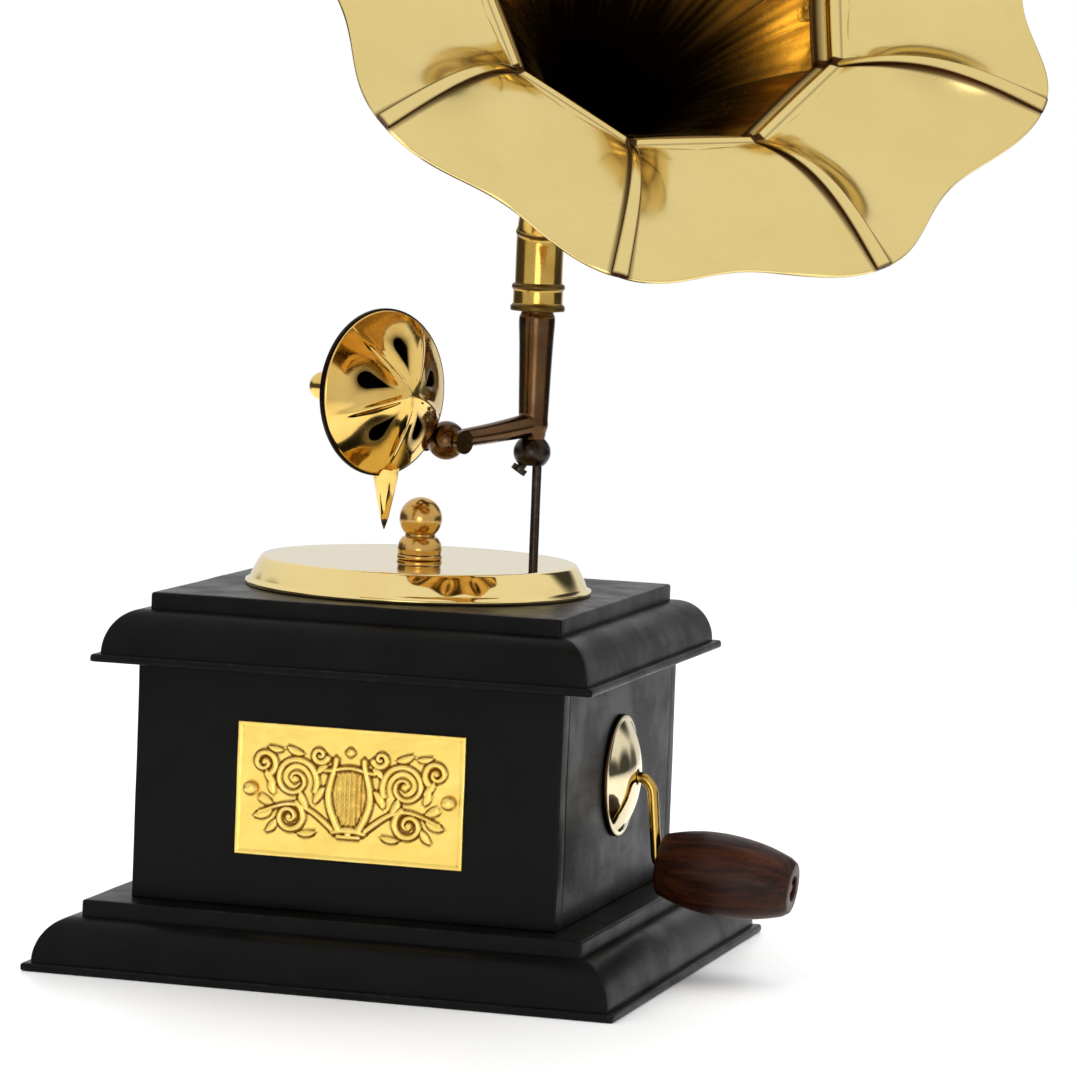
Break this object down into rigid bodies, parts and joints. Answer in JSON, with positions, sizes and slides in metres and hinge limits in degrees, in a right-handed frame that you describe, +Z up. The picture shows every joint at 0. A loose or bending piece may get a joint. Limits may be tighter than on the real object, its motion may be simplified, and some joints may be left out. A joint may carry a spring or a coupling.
{
  "type": "ornamental horn gramophone",
  "caption": "Small ornamental gramophone: petalled brass horn on a swivelling arm with a sound box, over a black moulded wooden case with a side crank.",
  "frame": {"origin": "centre of the underside of the base board, on the surface it stands on", "axes": "+Z up; +X to the right along the front face, towards the crank; +Y to the back, so the front face looks along -Y"},
  "size_m": [0.1741, 0.1511, 0.2461],
  "materials": {
    "black_wood": "satin black paint on wood",
    "bare_wood": "bare softwood",
    "polished_brass": "polished and lacquered brass sheet and turnings",
    "aged_bronze": "brown patinated cast brass, worn bright on the high places",
    "gilt_plaque": "bright gilt pressed sheet",
    "dark_steel": "blackened steel",
    "zinc_steel": "zinc plated",
    "red_brown_wood": "dark red-brown lacquered turned wood"
  },
  "bodies": {
    "base": {"base_board": "black_wood", "base_screws": "zinc_steel", "case_back": "black_wood", "case_front": "black_wood", "case_left": "black_wood", "case_right": "black_wood", "corner_posts": "bare_wood", "cornice_moulding_back": "black_wood", "cornice_moulding_front": "black_wood", "cornice_moulding_left": "black_wood", "cornice_moulding_right": "black_wood", "crank_bush": "polished_brass", "escutcheon": "polished_brass", "plaque": "gilt_plaque", "plaque_pins": "gilt_plaque", "plinth_moulding_back": "black_wood", "plinth_moulding_front": "black_wood", "plinth_moulding_left": "black_wood", "plinth_moulding_right": "black_wood", "rod_nut": "zinc_steel", "rod_washer": "zinc_steel", "spindle_knob": "polished_brass", "spindle_nut": "zinc_steel", "spindle_stud": "zinc_steel", "spindle_washer": "zinc_steel", "support_rod": "dark_steel", "top_board": "black_wood", "turntable_plate": "polished_brass"},
    "crank": {"crank_wire": "polished_brass", "crank_collar": "zinc_steel", "crank_rivet": "polished_brass"},
    "handle": {"crank_handle": "red_brown_wood"},
    "arm": {"tone_arm": "aged_bronze", "arm_end_ball": "aged_bronze", "arm_boss": "aged_bronze", "arm_set_screw": "dark_steel"},
    "sound_box": {"sound_box_dome": "polished_brass", "sound_box_ring": "polished_brass", "sound_box_cup": "polished_brass", "sound_box_stub": "polished_brass", "pivot_strap": "polished_brass", "pivot_spacer": "polished_brass", "pivot_screw": "polished_brass", "needle_cone": "polished_brass", "needle": "dark_steel"},
    "horn": {"horn_neck": "polished_brass", "neck_ring": "polished_brass", "horn_bend": "polished_brass", "horn_cone": "polished_brass", "petal_1": "polished_brass", "petal_2": "polished_brass", "petal_3": "polished_brass", "petal_4": "polished_brass", "petal_5": "polished_brass", "petal_6": "polished_brass", "petal_7": "polished_brass", "petal_8": "polished_brass", "petal_9": "polished_brass", "seam_ribs": "polished_brass"}
  },
  "joints": [
    {"name": "crank_turn", "type": "hinge", "parent": "base", "child": "crank", "pos_m": [0.0398, 0, 0.0358], "axis": [1, 0, 0], "continuous": true},
    {"name": "handle_spin", "type": "hinge", "parent": "crank", "child": "handle", "pos_m": [0.0484, 0, 0.0201], "axis": [0.9945, 0, -0.1045], "continuous": true},
    {"name": "arm_swing", "type": "hinge", "parent": "base", "child": "arm", "pos_m": [0.0156, 0.0222, 0.0925], "axis": [0, 0, 1], "continuous": true},
    {"name": "sound_box_lift", "type": "hinge", "parent": "arm", "child": "sound_box", "pos_m": [0.00371, 0.0021, 0.0952], "axis": [0.8763, -0.4818, 0], "range_deg": [-35, 18]},
    {"name": "horn_swivel", "type": "hinge", "parent": "arm", "child": "horn", "pos_m": [0.0146, 0.0219, 0.125], "axis": [0, 0, 1], "continuous": true}
  ]
}
